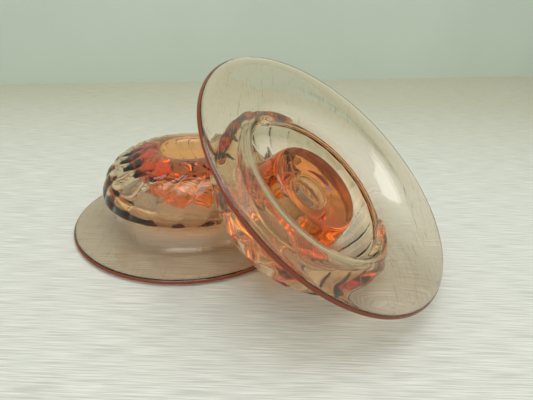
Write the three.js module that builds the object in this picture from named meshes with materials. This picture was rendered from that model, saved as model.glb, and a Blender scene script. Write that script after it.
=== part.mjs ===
// A matching pair of low pressed-glass holders in the shape of a mushroom. One stands on its
// wide base, and the other leans against its head with the base's underside showing. Each is
// one piece: flat base, trumpet neck, ribbed head, and a socket cup inside the hollow head.
// Units are millimetres, +Z is up.
import * as THREE from 'three';
import { mergeVertices } from 'three/addons/utils/BufferGeometryUtils.js';

// Sizes of one piece.
const BASE_RADIUS = 60;
const RIB_COUNT = 22;
const SEGMENTS_PER_RIB = 3;
const RIB_DEPTH = 2.1;

// Place of the leaning piece's base centre, measured from the standing piece's.
const LEAN_X = 67.35;
const LEAN_Y = -45.95;
const LEAN_Z = 49.75;
const LEAN_AZIMUTH = -29.86;
const LEAN_ELEVATION = 51.28;

const SEGMENTS = RIB_COUNT * SEGMENTS_PER_RIB;

// Cross-section as [radius, height] in base radii, height 0 being the underside of the base.
// The outside runs from the middle of the socket's floor to the base's edge.
const OUTSIDE = [
  [0, 0.3], [0.15, 0.3], [0.175, 0.36], [0.205, 0.59], [0.24, 0.65], [0.28, 0.667],
  [0.37, 0.667], [0.43, 0.656], [0.5, 0.634], [0.548, 0.612], [0.592, 0.582], [0.632, 0.546],
  [0.668, 0.504], [0.698, 0.452], [0.72, 0.392], [0.732, 0.33], [0.727, 0.295], [0.69, 0.278],
  [0.63, 0.262], [0.601, 0.215], [0.612, 0.148], [0.646, 0.093], [0.7, 0.057], [0.757, 0.043],
  [0.981, 0.043], [1, 0.027],
];
// The inside runs from the base's edge to the middle of the cup's underside.
const INSIDE = [
  [1, 0.016], [0.981, 0], [0.8, 0], [0.7, 0.012], [0.624, 0.061], [0.574, 0.135],
  [0.557, 0.2], [0.6, 0.29], [0.637, 0.37], [0.636, 0.44], [0.6, 0.51], [0.545, 0.556],
  [0.47, 0.57], [0.415, 0.52], [0.385, 0.4], [0.355, 0.24], [0.33, 0.203], [0.3, 0.222],
  [0.16, 0.23], [0.14, 0.25], [0, 0.255],
];
// Turn of the ribs in degrees against height, up to the bend in them.
const RIB_TURN = [[0.3, 0], [0.364, 1.5], [0.45, 5], [0.536, 10.5], [0.593, 17], [0.634, 25.5]];
const RIB_BEND_RADIUS = 0.5;
const RIB_END_RADIUS = 0.37;
const RIB_TURN_BACK = 8.5;

function smooth(t) {
  const s = Math.min(1, Math.max(0, t));
  return s * s * (3 - 2 * s);
}

function ribTurn(radius, height) {
  if (radius < RIB_BEND_RADIUS) {
    const back = (RIB_BEND_RADIUS - radius) / (RIB_BEND_RADIUS - RIB_END_RADIUS);
    return RIB_TURN[RIB_TURN.length - 1][1] - RIB_TURN_BACK * back;
  }
  for (let i = 1; i < RIB_TURN.length; i += 1) {
    const [h0, t0] = RIB_TURN[i - 1];
    const [h1, t1] = RIB_TURN[i];
    if (height <= h1) {
      return t0 + ((t1 - t0) * (height - h0)) / (h1 - h0);
    }
  }
  return RIB_TURN[RIB_TURN.length - 1][1];
}

// How far the grooves between the ribs cut in, in millimetres.
function grooveDepth(radius, height, turn) {
  if (radius < RIB_END_RADIUS + 0.001 || height < 0.3) {
    return 0;
  }
  const cycles = (turn - ribTurn(radius, height) / 360) * RIB_COUNT;
  const phase = cycles - Math.floor(cycles);
  const groove = 1 - Math.sqrt(Math.max(0, 1 - (2 * phase - 1) ** 2));
  return RIB_DEPTH * groove * smooth((height - 0.3) / 0.05);
}

// A lathed body whose outside is then pressed into slanting ribs.
function holderGeometry() {
  const outline = [...OUTSIDE, ...INSIDE]
    .map(([r, height]) => new THREE.Vector2(r * BASE_RADIUS, height * BASE_RADIUS));
  const lathe = new THREE.LatheGeometry(outline.reverse(), SEGMENTS).rotateX(Math.PI / 2);
  const position = lathe.getAttribute('position');
  for (let i = 0; i < position.count; i += 1) {
    const step = Math.floor(i / outline.length);
    const row = outline.length - 1 - (i % outline.length);
    const { x: radius, y: height } = outline[i % outline.length];
    const turn = step / SEGMENTS;
    const groove = row < OUTSIDE.length
      ? grooveDepth(radius / BASE_RADIUS, height / BASE_RADIUS, turn)
      : 0;
    const r = radius - groove;
    const angle = turn * 2 * Math.PI;
    position.setXYZ(i, r * Math.cos(angle), r * Math.sin(angle), height);
  }
  lathe.deleteAttribute('normal');
  lathe.deleteAttribute('uv');
  return mergeVertices(lathe, 1e-3);
}

function leanMatrix() {
  const azimuth = THREE.MathUtils.degToRad(LEAN_AZIMUTH);
  const elevation = THREE.MathUtils.degToRad(LEAN_ELEVATION);
  const open = new THREE.Vector3(
    Math.cos(elevation) * Math.cos(azimuth),
    Math.cos(elevation) * Math.sin(azimuth),
    Math.sin(elevation),
  );
  const zAxis = open.clone().negate();
  const xAxis = new THREE.Vector3(0, 0, 1).cross(zAxis).normalize();
  const yAxis = zAxis.clone().cross(xAxis);
  const matrix = new THREE.Matrix4().makeBasis(xAxis, yAxis, zAxis);
  return matrix.setPosition(LEAN_X, LEAN_Y, LEAN_Z);
}

function glass(color) {
  return new THREE.MeshStandardMaterial({ color, roughness: 0.05, transparent: true, opacity: 0.5 });
}

const standing = holderGeometry();
const leaning = holderGeometry().applyMatrix4(leanMatrix());
standing.computeBoundingBox();
leaning.computeBoundingBox();
const box = standing.boundingBox.clone().union(leaning.boundingBox);

// The origin is the middle of the pair's footprint, on the surface it stands on.
const part = new THREE.Group();
const pieces = [['standing_dish', standing, 0xd98a4a], ['leaning_dish', leaning, 0xe09a5a]];
pieces.forEach(([name, geometry, color]) => {
  const mesh = new THREE.Mesh(geometry, glass(color));
  mesh.name = name;
  mesh.position.set(-(box.min.x + box.max.x) / 2, -(box.min.y + box.max.y) / 2, -box.min.z);
  part.add(mesh);
});

export default part;
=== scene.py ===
"""A pair of amber pressed-glass holders: one standing on its wide base, one leaning on it."""
import math

import bpy
import numpy as np
from mathutils import Matrix, Vector


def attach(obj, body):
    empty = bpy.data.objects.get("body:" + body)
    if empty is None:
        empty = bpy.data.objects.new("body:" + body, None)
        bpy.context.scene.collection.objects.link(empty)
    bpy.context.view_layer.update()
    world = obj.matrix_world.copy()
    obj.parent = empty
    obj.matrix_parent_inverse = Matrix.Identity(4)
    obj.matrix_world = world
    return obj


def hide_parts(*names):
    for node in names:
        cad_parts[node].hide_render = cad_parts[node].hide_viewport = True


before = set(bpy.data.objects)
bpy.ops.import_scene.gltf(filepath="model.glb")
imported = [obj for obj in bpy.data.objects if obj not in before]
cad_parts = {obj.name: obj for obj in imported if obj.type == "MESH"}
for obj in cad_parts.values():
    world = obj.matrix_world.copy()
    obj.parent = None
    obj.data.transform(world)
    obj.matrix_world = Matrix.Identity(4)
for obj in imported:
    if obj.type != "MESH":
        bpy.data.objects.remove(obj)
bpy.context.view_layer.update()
scene = bpy.context.scene

# ---------------------------------------------------------------- sizes, in metres and degrees
BASE_R = 0.060
RIBS = 22
STEPS_PER_RIB = 12
RIB_DEPTH = 0.0021
STAND_AT = Vector((-0.028614, 0.021344, 0.0))
STAND_TURN = -6
LEAN_AT = Vector((0.038736, -0.024606, 0.04975))
LEAN_AZIMUTH = math.radians(-29.86)
LEAN_ELEVATION = math.radians(51.28)

# Cross-section in base radii, the same control points as the CAD solids.
OUTSIDE = [
    (0, 0.3), (0.15, 0.3), (0.175, 0.36), (0.205, 0.59), (0.24, 0.65), (0.28, 0.667),
    (0.37, 0.667), (0.43, 0.656), (0.5, 0.634), (0.548, 0.612), (0.592, 0.582),
    (0.632, 0.546), (0.668, 0.504), (0.698, 0.452), (0.72, 0.392), (0.732, 0.33),
    (0.727, 0.295), (0.69, 0.278), (0.63, 0.262), (0.601, 0.215), (0.612, 0.148),
    (0.646, 0.093), (0.7, 0.057), (0.757, 0.043), (0.981, 0.043), (1, 0.027),
]
INSIDE = [
    (1, 0.016), (0.981, 0), (0.8, 0), (0.7, 0.012), (0.624, 0.061), (0.574, 0.135),
    (0.557, 0.2), (0.6, 0.29), (0.637, 0.37), (0.636, 0.44), (0.6, 0.51), (0.545, 0.556),
    (0.47, 0.57), (0.415, 0.52), (0.385, 0.4), (0.355, 0.24), (0.33, 0.203), (0.3, 0.222),
    (0.16, 0.23), (0.14, 0.25), (0, 0.255),
]
# The ribs lie between these places, in base radii, and fade in over a short way at each end.
RIB_LOW, RIB_LOW_FADE = 0.29, 0.05
BEND_R, END_R, RIB_END_FADE = 0.5, 0.37, 0.035
# Turn of the ribs in degrees against height up to the bend, and back again past it.
TURN = [(0.3, 0), (0.364, 1.5), (0.45, 5), (0.536, 10.5), (0.593, 17), (0.634, 25.5)]
TURN_BACK = 8.5
# Everything further out than NICKED can be nicked, and faces past EDGE_FROM are the edge.
NICKED, EDGE_FROM = 0.97, 0.983
# Nicks in the leaning piece's edge: place and half-width in degrees, depth in metres.
NICKS = ((20, 2.2, 0.0003), (100, 1.5, 0.0002))

# Light lost per metre of glass in red, green and blue, and the density that carries it.
LOSS, LOSS_DENSITY = (1, 35, 80), 95
GLASS_IOR = 1.5
EDGE_COLOR = (0.30, 0.060, 0.012, 1)
EDGE_TRANSMISSION = 0.3
# The floor lies just under the glass, because two surfaces in one plane would flicker.
FLOOR_Z = -0.0002


# ---------------------------------------------------------------- shape
def smooth(t):
    t = np.clip(t, 0, 1)
    return t * t * (3 - 2 * t)


def rounded(points, times=2):
    """Cuts the corners of an open outline, so that it turns in small even steps."""
    points = [np.array(p, float) for p in points]
    for _ in range(times):
        cut = [points[0]]
        for a, b in zip(points[:-1], points[1:]):
            cut += [a * 0.75 + b * 0.25, a * 0.25 + b * 0.75]
        points = cut + [points[-1]]
    return np.array(points)


def rib_turn(radius, height):
    if radius < BEND_R:
        return TURN[-1][1] - TURN_BACK * (BEND_R - radius) / (BEND_R - END_R)
    return float(np.interp(height, [t[0] for t in TURN], [t[1] for t in TURN]))


def rib_groove(radius, height, degrees):
    """How far the grooves between the ribs cut in, all round one ring of the outside."""
    cycles = (degrees - rib_turn(radius, height)) / 360 * RIBS
    groove = 1 - np.sqrt(np.clip(1 - (2 * (cycles % 1.0) - 1) ** 2, 0, 1))
    fade = smooth((height - RIB_LOW) / RIB_LOW_FADE) * smooth((radius - END_R) / RIB_END_FADE)
    return RIB_DEPTH * groove * fade


def nick(degrees, at, width, depth):
    off = (degrees - at + 180) % 360 - 180
    return depth * np.exp(-((off / width) ** 2))


def band(a, b):
    """Faces between two rings of points, either of which can be a single point."""
    count = max(len(a), len(b))
    for k in range(count):
        n = (k + 1) % count
        if len(a) == 1:
            yield a[0], b[k], b[n]
        elif len(b) == 1:
            yield a[k], b[0], a[n]
        else:
            yield a[k], b[k], b[n], a[n]


def holder(name, nicks=()):
    """One pressed piece, round its own axis, with its base's underside at height 0."""
    outline = rounded(OUTSIDE + INSIDE)
    rim = int(np.argmax(outline[:, 0]))
    count = RIBS * STEPS_PER_RIB
    angle = np.linspace(0, 2 * np.pi, count, endpoint=False)
    degrees = np.degrees(angle)
    verts, rings = [], []
    for i, (radius, height) in enumerate(outline):
        if radius == 0:
            rings.append([len(verts)])
            verts.append((0.0, 0.0, height * BASE_R))
            continue
        r = np.full(count, radius * BASE_R)
        if i < rim and height > RIB_LOW and radius > END_R:
            r = r - rib_groove(radius, height, degrees)
        if radius > NICKED:
            r = r - sum(nick(degrees, *place) for place in nicks)
        rings.append(list(range(len(verts), len(verts) + count)))
        x, y = r * np.cos(angle), r * np.sin(angle)
        verts += [(a, b, height * BASE_R) for a, b in zip(x, y)]
    faces, slots = [], []
    for i in range(len(rings) - 1):
        new = list(band(rings[i], rings[i + 1]))
        faces += new
        slots += [int(min(outline[i][0], outline[i + 1][0]) > EDGE_FROM)] * len(new)
    mesh = bpy.data.meshes.new(name)
    mesh.from_pydata(verts, [], faces)
    mesh.update()
    mesh.polygons.foreach_set("use_smooth", [True] * len(faces))
    return mesh, slots


# ---------------------------------------------------------------- material helpers
class Material:
    """A material with a Principled shader, and short calls for adding and joining nodes."""

    def __init__(self, name):
        self.made = bpy.data.materials.new(name)
        self.made.use_nodes = True
        self.nodes = self.made.node_tree.nodes
        self.shader = self.nodes["Principled BSDF"]
        self.place = self.add("ShaderNodeTexCoord").outputs["Object"]

    def add(self, kind, values=(), **settings):
        node = self.nodes.new(kind)
        for key, value in settings.items():
            setattr(node, key, value)
        self.put(node, values)
        return node

    def put(self, node, values):
        for socket, value in dict(values).items():
            node.inputs[socket].default_value = value

    def join(self, source, node, socket):
        self.made.node_tree.links.new(source, node.inputs[socket])

    def noise(self, source, scale, detail):
        node = self.add("ShaderNodeTexNoise", {"Scale": scale, "Detail": detail})
        self.join(source, node, "Vector")
        return node.outputs["Fac"]

    def stretched(self, scale, rotation=(0, 0, 0)):
        node = self.add("ShaderNodeMapping", {"Scale": scale, "Rotation": rotation})
        self.join(self.place, node, "Vector")
        return node.outputs["Vector"]

    def ranged(self, source, low, high, to_high=1.0, kind="LINEAR"):
        values = {"From Min": low, "From Max": high, "To Max": to_high}
        node = self.add("ShaderNodeMapRange", values, interpolation_type=kind)
        self.join(source, node, "Value")
        return node.outputs["Result"]

    def bump(self, height, strength, distance, under=None, invert=False):
        values = {"Strength": strength, "Distance": distance}
        node = self.add("ShaderNodeBump", values, invert=invert)
        self.join(height, node, "Height")
        if under:
            self.join(under, node, "Normal")
        return node.outputs["Normal"]


# ---------------------------------------------------------------- glass
def glass(name):
    """Clear glass, coloured by its depth, with a wavy pressed skin, scratches and smudges."""
    mat = Material(name)
    mat.put(mat.shader, {
        "Base Color": (1, 1, 1, 1),
        "Transmission Weight": 1.0,
        "IOR": GLASS_IOR,
    })
    wave = mat.noise(mat.place, scale=90, detail=1.0)
    wavy = mat.bump(wave, strength=0.25, distance=0.0004)
    scratch = mat.noise(mat.stretched((3600, 60, 160), (0.4, 0.3, 0.9)), scale=1.0, detail=2.0)
    fine = mat.ranged(scratch, 0.67, 0.74)
    scratched = mat.bump(fine, strength=0.35, distance=0.0001, under=wavy, invert=True)
    mat.join(scratched, mat.shader, "Normal")
    smudge = mat.noise(mat.place, scale=55, detail=4.0)
    mat.join(mat.ranged(smudge, 0.5, 0.8, to_high=0.05), mat.shader, "Roughness")
    depth = mat.add("ShaderNodeVolumeAbsorption", {
        "Color": (*[1 - loss / LOSS_DENSITY for loss in LOSS], 1),
        "Density": LOSS_DENSITY,
    })
    mat.join(depth.outputs["Volume"], mat.nodes["Material Output"], "Volume")
    return mat


def edge_glass(name):
    """The same glass where light that has run along the base comes out, dark red-brown."""
    mat = glass(name)
    mat.put(mat.shader, {"Base Color": EDGE_COLOR, "Transmission Weight": EDGE_TRANSMISSION})
    return mat


# ---------------------------------------------------------------- the two pieces
def lean_tilt():
    """Turns a piece so that its underside opens towards the lean's azimuth and elevation."""
    across = math.cos(LEAN_ELEVATION)
    open_side = Vector((
        across * math.cos(LEAN_AZIMUTH),
        across * math.sin(LEAN_AZIMUTH),
        math.sin(LEAN_ELEVATION),
    ))
    axis_z = -open_side
    axis_x = Vector((0, 0, 1)).cross(axis_z).normalized()
    axis_y = axis_z.cross(axis_x)
    return Matrix((axis_x, axis_y, axis_z)).transposed().to_4x4()


def add_piece(body, place, nicks, materials):
    mesh, slots = holder(body + "_glass", nicks)
    mesh.transform(place)
    for mat in materials:
        mesh.materials.append(mat.made)
    mesh.polygons.foreach_set("material_index", slots)
    piece = bpy.data.objects.new(mesh.name, mesh)
    scene.collection.objects.link(piece)
    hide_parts(body + "_dish")
    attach(piece, body)


amber = (glass("amber_glass"), edge_glass("amber_edge"))
stand_turn = Matrix.Rotation(math.radians(STAND_TURN), 4, "Z")
add_piece("standing", Matrix.Translation(STAND_AT) @ stand_turn, (), amber)
add_piece("leaning", Matrix.Translation(LEAN_AT) @ lean_tilt(), NICKS, amber)


# ---------------------------------------------------------------- floor, backdrop and light
def sheet(name, corners, color, roughness, grain, contrast, far_shade):
    """A flat stage sheet with stretched grain and painted shade: its colour darkens and
    yellows a little with distance, where the light falls off.
    """
    mat = Material(name)
    mat.put(mat.shader, {"Roughness": roughness})
    noise = mat.noise(mat.stretched(grain), scale=1.0, detail=5.0)
    streaks = mat.add("ShaderNodeMix", data_type="RGBA")
    mat.put(streaks, {
        "A": (*[c * (1 - contrast) for c in color], 1),
        "B": (*[c * (1 + contrast) for c in color], 1),
    })
    mat.join(mat.ranged(noise, 0.36, 0.64), streaks, "Factor")
    apart = mat.add("ShaderNodeSeparateXYZ")
    mat.join(mat.place, apart, "Vector")
    # Painted shade: the sheet grows darker towards the back, where the light falls off.
    shade_amount = mat.ranged(apart.outputs["Y"], 0.02, 0.36, to_high=0.75, kind="SMOOTHSTEP")
    painted_shade_mix = mat.add("ShaderNodeMix", data_type="RGBA", blend_type="MULTIPLY")
    mat.put(painted_shade_mix, {"B": (*far_shade, 1)})
    mat.join(shade_amount, painted_shade_mix, "Factor")
    mat.join(streaks.outputs["Result"], painted_shade_mix, "A")
    mat.join(painted_shade_mix.outputs["Result"], mat.shader, "Base Color")
    mesh = bpy.data.meshes.new(name)
    mesh.from_pydata(corners, [], [(0, 1, 2, 3)])
    mesh.materials.append(mat.made)
    piece = bpy.data.objects.new(name, mesh)
    scene.collection.objects.link(piece)


def lamp(name, at, size, power, color=(1, 1, 1)):
    """A soft rectangular light, aimed at the origin."""
    light = bpy.data.lights.new(name, "AREA")
    light.shape = "RECTANGLE"
    light.size, light.size_y = size
    light.energy = power
    light.color = color
    holder_object = bpy.data.objects.new(name, light)
    holder_object.location = at
    holder_object.rotation_euler = (-Vector(at)).to_track_quat("-Z", "Y").to_euler()
    scene.collection.objects.link(holder_object)


sheet(
    "floor",
    [(-3, -3, FLOOR_Z), (3, -3, FLOOR_Z), (3, 3, FLOOR_Z), (-3, 3, FLOOR_Z)],
    color=(0.70, 0.70, 0.64), roughness=0.5, grain=(60, 2200, 1), contrast=0.17,
    # Painted shade towards the back of the floor, where the light falls off.
    far_shade=(0.72, 0.68, 0.52),
)
sheet(
    "backdrop",
    [(-2.4, -0.18, -0.1), (2.4, 1.04, -0.1), (2.4, 1.04, 1.6), (-2.4, -0.18, 1.6)],
    color=(0.60, 0.68, 0.59), roughness=0.9, grain=(5, 5, 5), contrast=0.03,
    far_shade=(1, 1, 1),
)

world = bpy.data.worlds.new("room")
world.use_nodes = True
world.node_tree.nodes["Background"].inputs["Color"].default_value = (0.97, 1.0, 0.95, 1)
world.node_tree.nodes["Background"].inputs["Strength"].default_value = 0.62
scene.world = world
lamp("window", (-0.35, 0.75, 0.75), (0.35, 0.20), 3.0, (1, 0.98, 0.94))
lamp("ceiling", (0.05, -0.15, 0.85), (0.9, 0.5), 4.2)

# ---------------------------------------------------------------- camera
SENSOR_WIDTH = 36
FOCAL_IN_WIDTHS = 400 / 533
CAMERA_AT = (0.011262, -0.170470, 0.10854)
CAMERA_DOWN, CAMERA_ROLL = 26.87, 1.82
LIGHT_BOUNCES = 40

eye = bpy.data.cameras.new("camera")
eye.sensor_width = SENSOR_WIDTH
eye.lens = FOCAL_IN_WIDTHS * SENSOR_WIDTH
eye.clip_start = 0.005
camera = bpy.data.objects.new("camera", eye)
camera.location = CAMERA_AT
pitch = Matrix.Rotation(math.radians(90 - CAMERA_DOWN), 3, "X")
roll = Matrix.Rotation(math.radians(CAMERA_ROLL), 3, "Z")
camera.rotation_euler = (pitch @ roll).to_euler()
scene.collection.objects.link(camera)
scene.camera = camera
scene.view_settings.view_transform = "Standard"
# Light turns many times inside the thick ribbed glass before it comes out.
scene.cycles.max_bounces = LIGHT_BOUNCES
scene.cycles.transmission_bounces = LIGHT_BOUNCES
